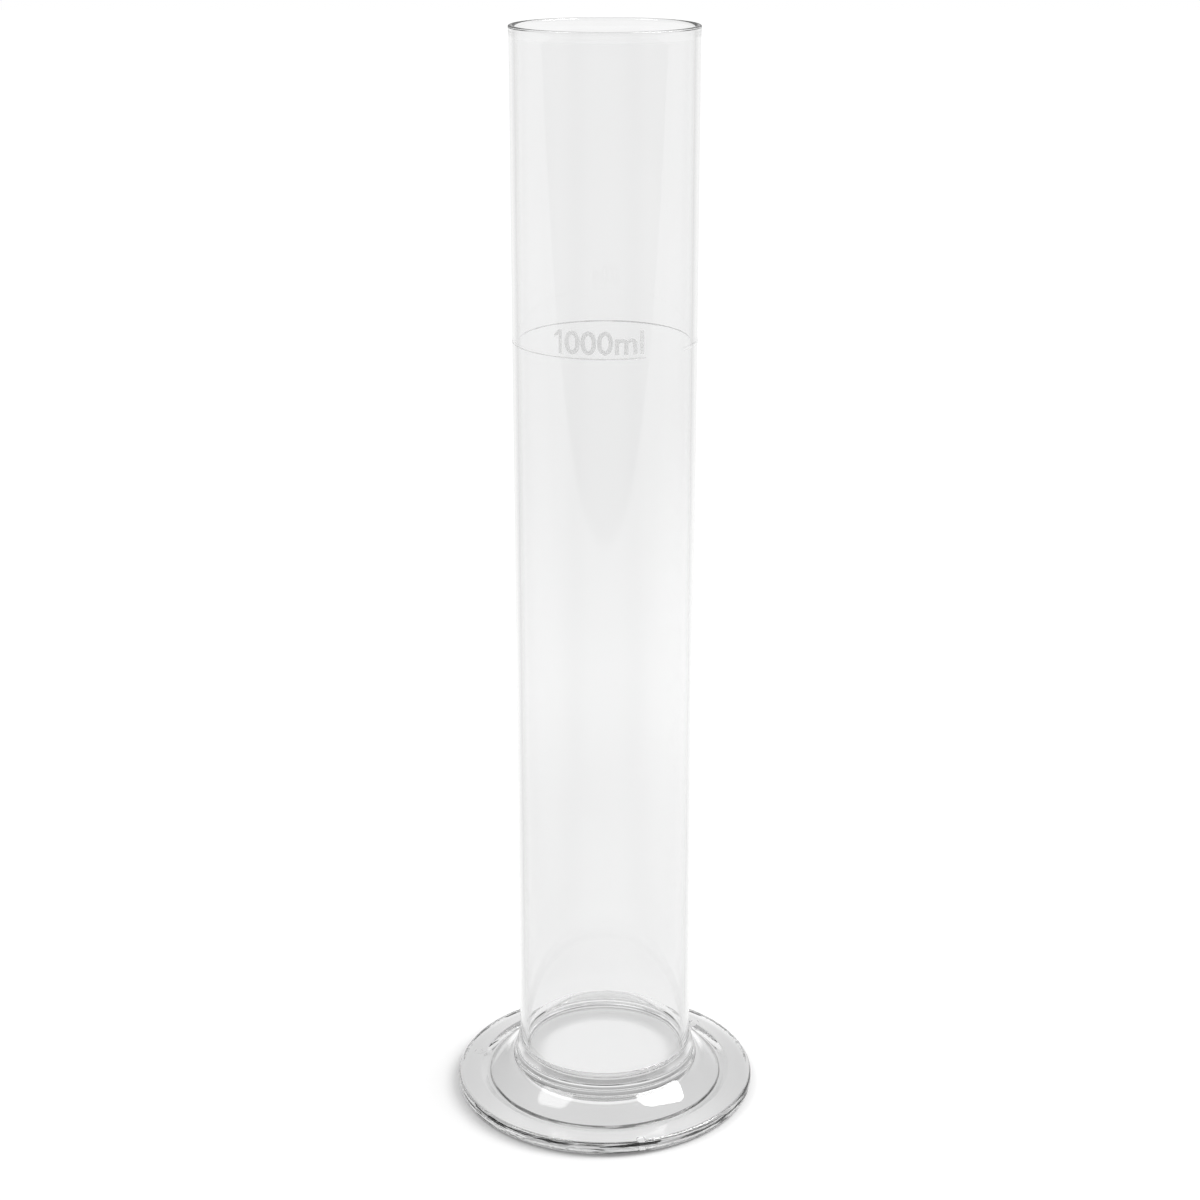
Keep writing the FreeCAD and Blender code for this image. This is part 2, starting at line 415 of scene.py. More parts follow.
@dataclass(frozen=True)
class PressedGlass(GlassFinish):
    """Clear glass from a cold mould, uneven at its edge, with painted shade in broken streaks on its edge and
    along its groove's inner corner.

    Attributes:
        edge_radius: Radius outside which the edge is uneven.
        edge_fade: Width over which that begins.
        rough_height: Height below which the edge is rough.
        rough_fade: Height over which that ends.
        rough_scale: Density of the roughness.
        rough_depth: How deep the roughness is.
        dash_scale: Density of the streaks of painted shade along x, y and z.
        dash_low: Lowest height of the painted shade on the edge.
        dash_high: Highest height of the painted shade on the edge.
        painted_shade_dashes: Where in the pattern a streak of painted shade lies.
        crease_radius: Radius of the groove's inner corner, where shade is painted.
        crease_width: Half the width of the painted shade in the corner.
        crease_core: Share of that width that is darkest.
        crease_height: Height above which the corner gets painted shade.
        crease_shade_breaks: How dark the painted shade in the corner is, by the pattern of the streaks.
        dark: Colour of the painted shade, which the streaks and the corner let through.
    """

    marks_scale: Triple = (90.0, 90.0, 90.0)
    marks_depth: float = 0.012 * MM
    edge_radius: float = 0.0
    edge_fade: float = 0.8 * MM
    rough_height: float = 3.2 * MM
    rough_fade: float = 1.0 * MM
    rough_scale: float = 600.0
    rough_depth: float = 0.3 * MM
    dash_scale: Triple = (60.0, 60.0, 700.0)
    dash_low: float = 1.0 * MM
    dash_high: float = 5.2 * MM
    painted_shade_dashes: Fade = Fade(0.53, 0.57, 0.0, 1.0)
    crease_radius: float = 0.0
    crease_width: float = 0.35 * MM
    crease_core: float = 0.3
    crease_height: float = 3.0 * MM
    crease_shade_breaks: Fade = Fade(0.42, 0.58, 0.5, 0.93)
    dark: Triple = (0.01, 0.01, 0.01)

    def _around(self, nodes: Nodes, where: Feed) -> tuple[Feed, Feed, Feed]:
        """Measure where a point lies on the foot.

        Args:
            nodes: Helper of the material's tree.
            where: Object coordinates.

        Returns:
            Radius, height, and how far the point lies in the uneven edge.
        """
        across, depth, up = nodes.split(where)
        radius = nodes.measure("LENGTH", nodes.vector(across, depth, 0.0))
        return radius, up, nodes.ramp(radius, self.edge_radius, self.edge_radius + self.edge_fade, 0.0, 1.0)

    def _relief(self, nodes: Nodes, where: Feed) -> Node:
        """Emboss the making marks, and roughen the low outer edge, where the mould chilled the glass.

        Args:
            nodes: Helper of the material's tree.
            where: Object coordinates.

        Returns:
            The relief.
        """
        _, up, outer = self._around(nodes, where)
        low = nodes.ramp(up, self.rough_height - self.rough_fade, self.rough_height, 1.0, 0.0)
        height = nodes.times(nodes.noise(where, self.rough_scale, Detail.PLAIN), outer, low)
        marks = super()._relief(nodes, where)
        return nodes.add("ShaderNodeBump", {
            "Height": height, "Strength": 1.0, "Distance": self.rough_depth, "Normal": marks,
        })

    def _colour(self, nodes: Nodes, where: Feed, cloud: Feed) -> NodeSocket:
        """Tint the glass, and paint shade into the groove's inner corner and, in broken streaks, on the
        uneven edge.

        Args:
            nodes: Helper of the material's tree.
            where: Object coordinates.
            cloud: The clouds in the glass.

        Returns:
            The colour.
        """
        radius, up, outer = self._around(nodes, where)
        grain = nodes.streaks(where, self.dash_scale, Detail.FINE)
        off_corner = nodes.math("ABSOLUTE", nodes.math("SUBTRACT", radius, self.crease_radius))
        # Painted shade along the groove's inner corner, broken by the same streaks.
        corner = nodes.times(
            nodes.ramp(off_corner, self.crease_core * self.crease_width, self.crease_width, 1.0, 0.0),
            nodes.math("GREATER_THAN", up, self.crease_height),
            self.crease_shade_breaks.of(nodes, grain),
        )
        # Painted shade in broken streaks on the uneven edge.
        painted_shade_dashes = nodes.times(
            self.painted_shade_dashes.of(nodes, grain),
            outer,
            nodes.math("GREATER_THAN", up, self.dash_low),
            nodes.math("LESS_THAN", up, self.dash_high),
        )
        shade = nodes.math("MAXIMUM", corner, painted_shade_dashes)
        return nodes.blend(shade, super()._colour(nodes, where, cloud), (*self.dark, 1.0))


@dataclass(frozen=True)
class FusedJoint:
    """Where two pieces of glass have melted into one, so that nothing shows between them.

    Attributes:
        name: Name of the material.
    """

    name: str = "fused_joint"

    def material(self) -> Material:
        """Make a material that lets everything straight through.

        Returns:
            The material.
        """
        made, _, shader = new_material(self.name)
        shader.inputs["Alpha"].default_value = 0.0
        return made


@dataclass(frozen=True)
class EnamelFinish:
    """Thin pale enamel fired on to the glass.

    Attributes:
        name: Name of the material.
        thin: Colour where the film is thin.
        thick: Colour where the film is thick.
        grain: Density of the grain.
        gloss: Roughness by grain.
        relief: Strength of the grain's relief.
        relief_depth: How deep that relief is.
        cover: How much of the light each face of the film stops.
    """

    name: str = "pale_fired_enamel"
    thin: Triple = (0.86, 0.86, 0.86)
    thick: Triple = (0.78, 0.78, 0.78)
    grain: float = 900.0
    gloss: Fade = Fade(0.3, 0.7, 0.35, 0.55)
    relief: float = 0.2
    relief_depth: float = 0.02 * MM
    cover: float = 0.33

    def material(self) -> Material:
        """Make the material.

        Returns:
            The enamel, on Object coordinates.
        """
        made, nodes, shader = new_material(self.name)
        where = nodes.add("ShaderNodeTexCoord").outputs["Object"]
        grain = nodes.noise(where, self.grain, Detail.SOFT)
        bump = nodes.add("ShaderNodeBump", {
            "Height": grain, "Strength": self.relief, "Distance": self.relief_depth,
        })
        nodes.feed(shader.inputs["Base Color"], nodes.blend(grain, (*self.thin, 1.0), (*self.thick, 1.0)))
        nodes.feed(shader.inputs["Roughness"], self.gloss.of(nodes, grain))
        nodes.feed(shader.inputs["Normal"], bump)
        shader.inputs["Alpha"].default_value = self.cover
        return made


@dataclass(frozen=True)
class Measures:
    """Sizes that the pieces share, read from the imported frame.

    Attributes:
        seat_height: Height of the tube's underside.
        rim_top: Height of the rim.
        wall_radius: Outer radius of the tube's straight wall.
        collar_height: Height of the foot's collar.
        collar_radius: Outer radius of the collar.
        weld_top: Height of the weld.
        foot_radius: Outer radius of the foot.
        line_height: Height of the line's middle.
        line_width: Width of the line.
        line_radius: Outer radius of the line.
        seat_rounding: Rounding of the tube's bottom edge and of its seat in the foot.
    """

    seat_height: float
    rim_top: float
    wall_radius: float
    collar_height: float
    collar_radius: float
    weld_top: float
    foot_radius: float
    line_height: float
    line_width: float
    line_radius: float
    seat_rounding: float = 2.0 * MM

    @classmethod
    def from_frame(cls) -> "Measures":
        """Read the boxes of the CAD nodes.

        Returns:
            The shared sizes. Radii at which pieces meet are rounded to a tenth of a millimetre.
        """
        tube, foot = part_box("cylinder_tube"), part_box("pressed_foot")
        weld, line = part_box("weld_ring"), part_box("graduation_ring")
        return cls(
            seat_height=tube[0].z,
            rim_top=tube[1].z,
            wall_radius=round(tube[1].x, TENTH_OF_MM_DIGITS) - CAD_RIM_PROUD,
            collar_height=weld[0].z,
            collar_radius=round(weld[1].x, TENTH_OF_MM_DIGITS),
            weld_top=weld[1].z,
            foot_radius=-foot[0].x,
            line_height=(line[0].z + line[1].z) / 2,
            line_width=line[1].z - line[0].z,
            line_radius=round(-line[0].x, TENTH_OF_MM_DIGITS),
        )


class NodeTool:
    """A geometry node tree with named inputs that makes or shapes one piece.

    Attributes:
        tree: The node tree.
        nodes: Helper that fills it.
        given: Outputs of the tree's input node, by name.
    """

    def __init__(self, name: str, inputs: dict[str, Input]) -> None:
        """Start the tree.

        Args:
            name: Name of the tree.
            inputs: Its inputs, after the geometry.
        """
        self.tree = bpy.data.node_groups.new(name, "GeometryNodeTree")
        self.nodes = Nodes(self.tree)
        self._identifiers: dict[str, str] = {}
        for label, kind in {"Geometry": Input.GEOMETRY, **inputs}.items():
            socket = self.tree.interface.new_socket(label, in_out="INPUT", socket_type=kind.value)
            self._identifiers[label] = socket.identifier
        self.tree.interface.new_socket("Geometry", in_out="OUTPUT", socket_type=Input.GEOMETRY.value)
        self.given = self.nodes.add("NodeGroupInput").outputs

    def finish(self, geometry: Feed, material: str) -> Node:
        """Realize what was made and give it its material.

        Args:
            geometry: What was made.
            material: Name of the material input.

        Returns:
            The last node.
        """
        real = self.nodes.add("GeometryNodeRealizeInstances", {0: geometry})
        return self.nodes.add("GeometryNodeSetMaterial", {"Geometry": real, "Material": self.given[material]})

    def end(self, geometry: Feed) -> None:
        """Hand the result out of the tree."""
        self.nodes.add("NodeGroupOutput", {0: geometry})

    def attribute(self, name: str) -> NodeSocket:
        """Read a yes-or-no attribute."""
        node = self.nodes.add("GeometryNodeInputNamedAttribute", {"Name": name}, data_type="BOOLEAN")
        return node.outputs[0]

    def apply(self, name: str, mesh: Mesh, values: dict[str, Any]) -> Object:
        """Run the tree on a mesh.

        Args:
            name: Name of the piece.
            mesh: What the tree starts from.
            values: Values of the tree's inputs.

        Returns:
            The piece as a plain mesh, at the origin, with nothing live on it.
        """
        piece = add_object(name, mesh)
        modifier = piece.modifiers.new(name, "NODES")
        modifier.node_group = self.tree
        for label, value in values.items():
            modifier[self._identifiers[label]] = value
        made = plain_mesh(piece)
        piece.modifiers.clear()
        piece.data = made
        made.name = name
        # Set Material leaves an empty slot in front of its own.
        for index in reversed(range(len(made.materials))):
            if made.materials[index] is None:
                made.materials.pop(index=index)
        return piece


class Lathe(NodeTool):
    """Turns half sections about the vertical axis: a grid whose rows take the section's points."""

    JOINT = "melted_joint"
    SEAM = 0.001 * MM

    def __init__(self, segments: int, joint: Material) -> None:
        """Build the tree.

        Args:
            segments: Steps round the axis.
            joint: Material of the melted joints.
        """
        super().__init__("turned_glass", {
            "Section Points": Input.COUNT,
            "Segments": Input.COUNT,
            "Glass": Input.MATERIAL,
            "Joint": Input.MATERIAL,
        })
        self.segments = segments
        self.joint = joint
        nodes, given = self.nodes, self.given
        rows = nodes.math("SUBTRACT", given["Section Points"], 1.0)
        grid = nodes.add("GeometryNodeMeshGrid", {
            "Size X": rows,
            "Size Y": given["Segments"],
            "Vertices X": given["Section Points"],
            "Vertices Y": nodes.math("ADD", given["Segments"], 1.0),
        })
        position = nodes.add("GeometryNodeInputPosition")
        along, around, _ = nodes.split(position)
        row = nodes.math("ROUND", nodes.math("MULTIPLY_ADD", rows, 0.5, along))
        turn = nodes.math("DIVIDE", nodes.times(around, FULL_TURN), given["Segments"])
        radius, _, height = nodes.split(self._sample(row, "FLOAT_VECTOR", position))
        target = nodes.vector(
            nodes.times(radius, nodes.math("COSINE", turn)),
            nodes.times(radius, nodes.math("SINE", turn)),
            height,
        )
        melted = self._sample(row, "BOOLEAN", self.attribute(self.JOINT))
        marked = nodes.add("GeometryNodeStoreNamedAttribute", {
            "Geometry": grid, "Name": self.JOINT, "Value": melted,
        }, data_type="BOOLEAN", domain="POINT")
        placed = nodes.add("GeometryNodeSetPosition", {"Geometry": marked, "Position": target})
        joined = nodes.add("GeometryNodeMergeByDistance", {"Geometry": placed, "Distance": self.SEAM})
        # The grid's faces come out turned inwards.
        outward = nodes.add("GeometryNodeFlipFaces", {"Mesh": joined})
        smooth = nodes.add("GeometryNodeSetShadeSmooth", {"Geometry": outward})
        self.end(nodes.add("GeometryNodeSetMaterial", {
            "Geometry": self.finish(smooth, "Glass"),
            "Material": given["Joint"],
            "Selection": self.attribute(self.JOINT),
        }))

    def _sample(self, index: Feed, kind: str, value: Feed) -> NodeSocket:
        """Read a value of the section at one of its points."""
        feeds = {"Geometry": self.given["Geometry"], "Value": value, "Index": index}
        return self.nodes.add("GeometryNodeSampleIndex", feeds, data_type=kind, domain="POINT").outputs[0]

    def turn(self, name: str, section: Section, glass: Material) -> Object:
        """Turn a section into a finished piece.

        Args:
            name: Name of the piece.
            section: Its half section.
            glass: Material of the open surface.

        Returns:
            The piece.
        """
        points = section.points()
        mesh = bpy.data.meshes.new(f"{name}_section")
        chain = [(index, index + 1) for index in range(len(points) - 1)]
        mesh.from_pydata([(point.x, 0.0, point.y) for point, _ in points], chain, [])
        flags = mesh.attributes.new(self.JOINT, "BOOLEAN", "POINT")
        for flag, (_, melted) in zip(flags.data, points):
            flag.value = melted
        return self.apply(name, mesh, {
            "Section Points": len(points), "Segments": self.segments, "Glass": glass, "Joint": self.joint,
        })


class PipMaker(NodeTool):
    """Melts a ring of round pips into the underside of a foot."""

    SIDES = 48

    def __init__(self) -> None:
        """Build the tree."""
        sizes = ("Circle", "First Turn", "Top Radius", "Bottom Radius", "Height")
        super().__init__("standing_pips", {
            "Count": Input.COUNT, **dict.fromkeys(sizes, Input.NUMBER), "Glass": Input.MATERIAL,
        })
        nodes, given = self.nodes, self.given
        ring = nodes.add("GeometryNodeMeshCircle", {"Vertices": given["Count"], "Radius": given["Circle"]})
        turned = nodes.add("GeometryNodeTransform", {
            "Geometry": ring, "Rotation": nodes.vector(0.0, 0.0, given["First Turn"]),
        })
        pip = nodes.add("GeometryNodeMeshCone", {
            "Vertices": self.SIDES,
            "Radius Top": given["Top Radius"],
            "Radius Bottom": given["Bottom Radius"],
            "Depth": given["Height"],
        })
        pips = nodes.add("GeometryNodeInstanceOnPoints", {"Points": turned, "Instance": pip})
        dressed = self.finish(pips, "Glass")
        smooth = nodes.add("GeometryNodeSetShadeSmooth", {"Geometry": dressed})
        union = nodes.add("GeometryNodeMeshBoolean", operation="UNION", solver="EXACT")
        nodes.feed(union.inputs["Mesh 2"], given["Geometry"])
        nodes.feed(union.inputs["Mesh 2"], smooth)
        self.end(union)


class LineMaker(NodeTool):
    """Lays a thin line of enamel round a tube, with a slightly wavering width."""

    WAVER_SCALE = 160.0
    WAVER = Fade(0.3, 0.75, 0.75, 1.25)

    def __init__(self) -> None:
        """Build the tree."""
        sizes = ("Radius", "Start", "Sweep", "Height", "Film", "Width")
        super().__init__("enamel_line", {
            **dict.fromkeys(sizes, Input.NUMBER), "Steps": Input.COUNT, "Enamel": Input.MATERIAL,
        })
        nodes, given = self.nodes, self.given
        path = nodes.add("GeometryNodeCurveArc", {
            "Resolution": given["Steps"],
            "Radius": given["Radius"],
            "Start Angle": given["Start"],
            "Sweep Angle": given["Sweep"],
        }, mode="RADIUS")
        band = nodes.add("GeometryNodeCurvePrimitiveQuadrilateral", {
            "Width": given["Film"], "Height": given["Width"],
        }, mode="RECTANGLE")
        waver = nodes.noise(nodes.add("GeometryNodeInputPosition"), self.WAVER_SCALE, Detail.SOFT)
        swept = nodes.add("GeometryNodeCurveToMesh", {
            "Curve": path, "Profile Curve": band, "Scale": self.WAVER.of(nodes, waver), "Fill Caps": True,
        })
        lifted = nodes.add("GeometryNodeTransform", {
            "Geometry": swept, "Translation": nodes.vector(0.0, 0.0, given["Height"]),
        })
        self.end(self.finish(lifted, "Enamel"))


class FigureWrapper(NodeTool):
    """Thickens flat lettering and wraps it on a tube."""

    FINENESS = 2
    SEAM = 0.002 * MM

    def __init__(self) -> None:
        """Build the tree."""
        sizes = ("Radius", "Turn", "Height", "Film", "Wide", "Tall")
        super().__init__("wrapped_figure", {
            **dict.fromkeys(sizes, Input.NUMBER), "Enamel": Input.MATERIAL,
        })
        nodes, given = self.nodes, self.given
        fine = nodes.add("GeometryNodeSubdivideMesh", {"Mesh": given["Geometry"], "Level": self.FINENESS})
        back = nodes.add("GeometryNodeFlipFaces", {"Mesh": fine})
        thick = nodes.add("GeometryNodeExtrudeMesh", {
            "Mesh": fine, "Offset": (0.0, 0.0, 1.0), "Offset Scale": given["Film"], "Individual": False,
        })
        both = nodes.add("GeometryNodeJoinGeometry")
        nodes.feed(both.inputs[0], back)
        nodes.feed(both.inputs[0], thick)
        closed = nodes.add("GeometryNodeMergeByDistance", {"Geometry": both, "Distance": self.SEAM})
        box = nodes.add("GeometryNodeBoundBox", {0: given["Geometry"]})
        lows, highs = nodes.split(box.outputs["Min"]), nodes.split(box.outputs["Max"])
        places = nodes.split(nodes.add("GeometryNodeInputPosition"))
        across, lift = (
            nodes.math("DIVIDE", nodes.math("SUBTRACT", place, low), nodes.math("SUBTRACT", high, low))
            for place, low, high in zip(places[:2], lows, highs)
        )
        along = nodes.times(nodes.math("SUBTRACT", across, 0.5), given["Wide"])
        turn = nodes.math("ADD", nodes.math("DIVIDE", along, given["Radius"]), given["Turn"])
        out = nodes.math("ADD", given["Radius"], places[2])
        wrapped = nodes.add("GeometryNodeSetPosition", {"Geometry": closed, "Position": nodes.vector(
            nodes.times(out, nodes.math("COSINE", turn)),
            nodes.times(out, nodes.math("SINE", turn)),
            nodes.math("MULTIPLY_ADD", lift, given["Tall"], given["Height"]),
        )})
        self.end(self.finish(wrapped, "Enamel"))


def place(piece: Object, slot: str, *nodes: str) -> Object:
    """Put a finished piece on the frame.

    Args:
        piece: The piece.
        slot: A material slot of the record; not used.
        *nodes: CAD nodes that it stands for.

    Returns:
        The same piece.
    """
    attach(piece, BODY)
    if nodes:
        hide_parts(*nodes)
    LOG.info("%s: %d faces", piece.name, len(piece.data.polygons))
    return piece


@dataclass
class CylinderTube:
    """Drawn glass tube with a closed bottom and a fire-polished rim.

    Attributes:
        wall: Thickness of the wall.
        rim_bulge: How far the fire-polished rim stands out from the wall.
        rim_flare: Height over which the wall widens to the rim.
        flare_rounding: Rounding where the wall begins to widen.
        rim_rounding: Rounding below the rim.
        floor_height: Height of the inside floor.
        inside_corner: Rounding of the inside corner.
    """

    wall: float = 2.3 * MM
    rim_bulge: float = 0.2 * MM
    rim_flare: float = 2.5 * MM
    flare_rounding: float = 20.0 * MM
    rim_rounding: float = 6.0 * MM
    floor_height: float = 17.0 * MM
    inside_corner: float = 2.5 * MM

    def build(self, sizes: Measures, lathe: Lathe, glass: Material) -> Object:
        """Turn the tube.

        Args:
            sizes: Shared sizes.
            lathe: The tool that turns sections.
            glass: Material of the open surface.

        Returns:
            The dressed tube.
        """
        outside = sizes.wall_radius
        bore = outside - self.wall
        crown = (self.wall + self.rim_bulge) / 2
        section = Section([
            Corner(0.0, sizes.seat_height, joint=True),
            Corner(outside, sizes.seat_height, sizes.seat_rounding, joint=True),
            Corner(outside, sizes.weld_top, joint=True),
            Corner(outside, sizes.rim_top - crown - self.rim_flare, self.flare_rounding),
            Corner(outside + self.rim_bulge, sizes.rim_top - crown, self.rim_rounding),
            Corner(outside + self.rim_bulge, sizes.rim_top, crown),
            Corner(bore, sizes.rim_top, crown),
            Corner(bore, self.floor_height, self.inside_corner),
            Corner(0.0, self.floor_height),
        ])
        tube = lathe.turn("clear_tube", section, glass)
        tube.visible_shadow = False
        return place(tube, "tube_glass", "cylinder_tube")


@dataclass
class PressedFoot:
    """Pressed glass foot: collar, neck, dome, groove, flange, hollow underside and standing pips.

    Attributes:
        flange_height: Height of the flange's flat top.
        edge_rounding: Rounding of the flange's edge.
        uneven_edge: Width of the edge that the mould left uneven.
        neck_height: Height of the collar over the start of the dome.
        neck_rounding: Radius of the neck.
        dome_run: How far the dome goes out from the collar.
        dome_crown: How far the dome's flank bulges.
        flank_start: Share of the flank below its first point.
        flank_span: Share of the flank that its points take up.
        flank_steps: Steps along the flank.
        lip_height: Height of the dome's lower lip.
        lip_rounding: Rounding of the lip.
        groove_depth: Depth of the groove below the flange.
        groove_floor: Width of the groove's floor.
        groove_slope: Width of the groove's outer slope.
        groove_roundings: Roundings of the groove's outer edge, outer corner and inner corner.
        floor_thickness: Thickness of the foot's glass under the tube.
        dish_inset: How far inside the dome's lip the hollow underside begins.
        dish_slope: Width of the hollow's slope.
        dish_roundings: Roundings of the hollow at its top and at its edge.
        pip_height: Height of the pips.
        pip_radius: Radius of a pip at the underside.
        pip_tip_radius: Radius of a pip where it stands on the table.
        pip_inset: Distance from the edge to the pips.
        pip_count: Number of pips.
        pip_first_turn: Where the first pip stands.
        sharp_angle: Angle past which an edge stays sharp.
    """

    flange_height: float = 5.8 * MM
    edge_rounding: float = 2.0 * MM
    uneven_edge: float = 1.8 * MM
    neck_height: float = 3.0 * MM
    neck_rounding: float = 5.0 * MM
    dome_run: float = 11.2 * MM
    dome_crown: float = 0.5 * MM
    flank_start: float = 0.06
    flank_span: float = 0.58
    flank_steps: int = 16
    lip_height: float = 1.1 * MM
    lip_rounding: float = 0.4 * MM
    groove_depth: float = 1.4 * MM
    groove_floor: float = 1.2 * MM
    groove_slope: float = 2.8 * MM
    groove_roundings: Triple = (2.0 * MM, 1.2 * MM, 0.3 * MM)
    floor_thickness: float = 4.5 * MM
    dish_inset: float = 0.7 * MM
    dish_slope: float = 11.0 * MM
    dish_roundings: tuple[float, float] = (8.0 * MM, 4.0 * MM)
    pip_height: float = 0.5 * MM
    pip_radius: float = 1.8 * MM
    pip_tip_radius: float = 1.6 * MM
    pip_inset: float = 5.7 * MM
    pip_count: int = 3
    pip_first_turn: float = math.radians(45.0)
    sharp_angle: float = math.radians(40.0)

    def dome_radius(self, sizes: Measures) -> float:
        """Give the radius of the dome's lip, at the groove's inner corner."""
        return sizes.collar_radius + self.dome_run

    def build(self, sizes: Measures, lathe: Lathe, glass: Material) -> Object:
        """Turn the foot and melt the pips into it.

        Args:
            sizes: Shared sizes.
            lathe: The tool that turns sections.
            glass: Material of the open surface.

        Returns:
            The dressed foot.
        """
        turned = lathe.turn("foot_blank", self._section(sizes), glass)
        foot = PipMaker().apply("clear_foot", turned.data, {
            "Count": self.pip_count,
            "Circle": sizes.foot_radius - self.pip_inset,
            "First Turn": self.pip_first_turn,
            "Top Radius": self.pip_radius,
            "Bottom Radius": self.pip_tip_radius,
            "Height": self.pip_height,
            "Glass": glass,
        })
        bpy.data.objects.remove(turned)
        foot.data.set_sharp_from_angle(angle=self.sharp_angle)
        return place(foot, "foot_glass", "pressed_foot")

    def _section(self, sizes: Measures) -> Section:
        """Draw the foot's half section.

        Args:
            sizes: Shared sizes.

        Returns:
            The section, from the top of the hollow underside round to the seat of the tube.
        """
        edge, dome, outside = sizes.foot_radius, self.dome_radius(sizes), sizes.wall_radius
        dish = dome - self.dish_inset
        crown = sizes.seat_height - self.floor_thickness
        groove = self.flange_height - self.groove_depth
        slope = dome + self.groove_floor + self.groove_slope
        brim_rounding, outer_rounding, inner_rounding = self.groove_roundings
        lip = Vector((dome, groove + self.lip_height))
        neck = Vector((sizes.collar_radius, sizes.collar_height - self.neck_height))
        steps = range(1, self.flank_steps)
        shares = [self.flank_start + self.flank_span * step / self.flank_steps for step in steps]
        return Section([
            Corner(0.0, crown),
            Corner(dish - self.dish_slope, crown, self.dish_roundings[0]),
            Corner(dish, self.pip_height, self.dish_roundings[1]),
            Corner(edge, self.pip_height, self.edge_rounding),
            Corner(edge, self.flange_height, self.edge_rounding),
            Corner(slope, self.flange_height, brim_rounding),
            Corner(dome + self.groove_floor, groove, outer_rounding),
            Corner(dome, groove, inner_rounding),
            Corner(*lip, self.lip_rounding),
            *(Corner(*bulge(lip, neck, self.dome_crown, share)) for share in shares),
            Corner(*neck, self.neck_rounding),
            Corner(sizes.collar_radius, sizes.collar_height, joint=True),
            Corner(outside, sizes.collar_height, joint=True),
            Corner(outside, sizes.seat_height, sizes.seat_rounding, joint=True),
            Corner(0.0, sizes.seat_height, joint=True),
        ])


@dataclass
class WeldRing:
    """Ring of fused glass between the tube and the collar.

    Attributes:
        crown: How far the flank bulges.
        steps: Steps along the flank.
    """

    crown: float = 0.1 * MM
    steps: int = 12

    def build(self, sizes: Measures, lathe: Lathe, glass: Material) -> Object:
        """Turn the ring.

        Args:
            sizes: Shared sizes.
            lathe: The tool that turns sections.
            glass: Material of the open surface.

        Returns:
            The dressed ring.
        """
        outside = sizes.wall_radius
        low = Vector((sizes.collar_radius, sizes.collar_height))
        high = Vector((outside, sizes.weld_top))
        heel = Corner(outside, sizes.collar_height, joint=True)
        flank = []
        for step in range(self.steps + 1):
            point = bulge(low, high, self.crown, step / self.steps)
            flank.append(Corner(*point, joint=step in (0, self.steps)))
        section = Section([heel, *flank, heel])
        return place(lathe.turn("weld_seam", section, glass), "foot_glass", "weld_ring")


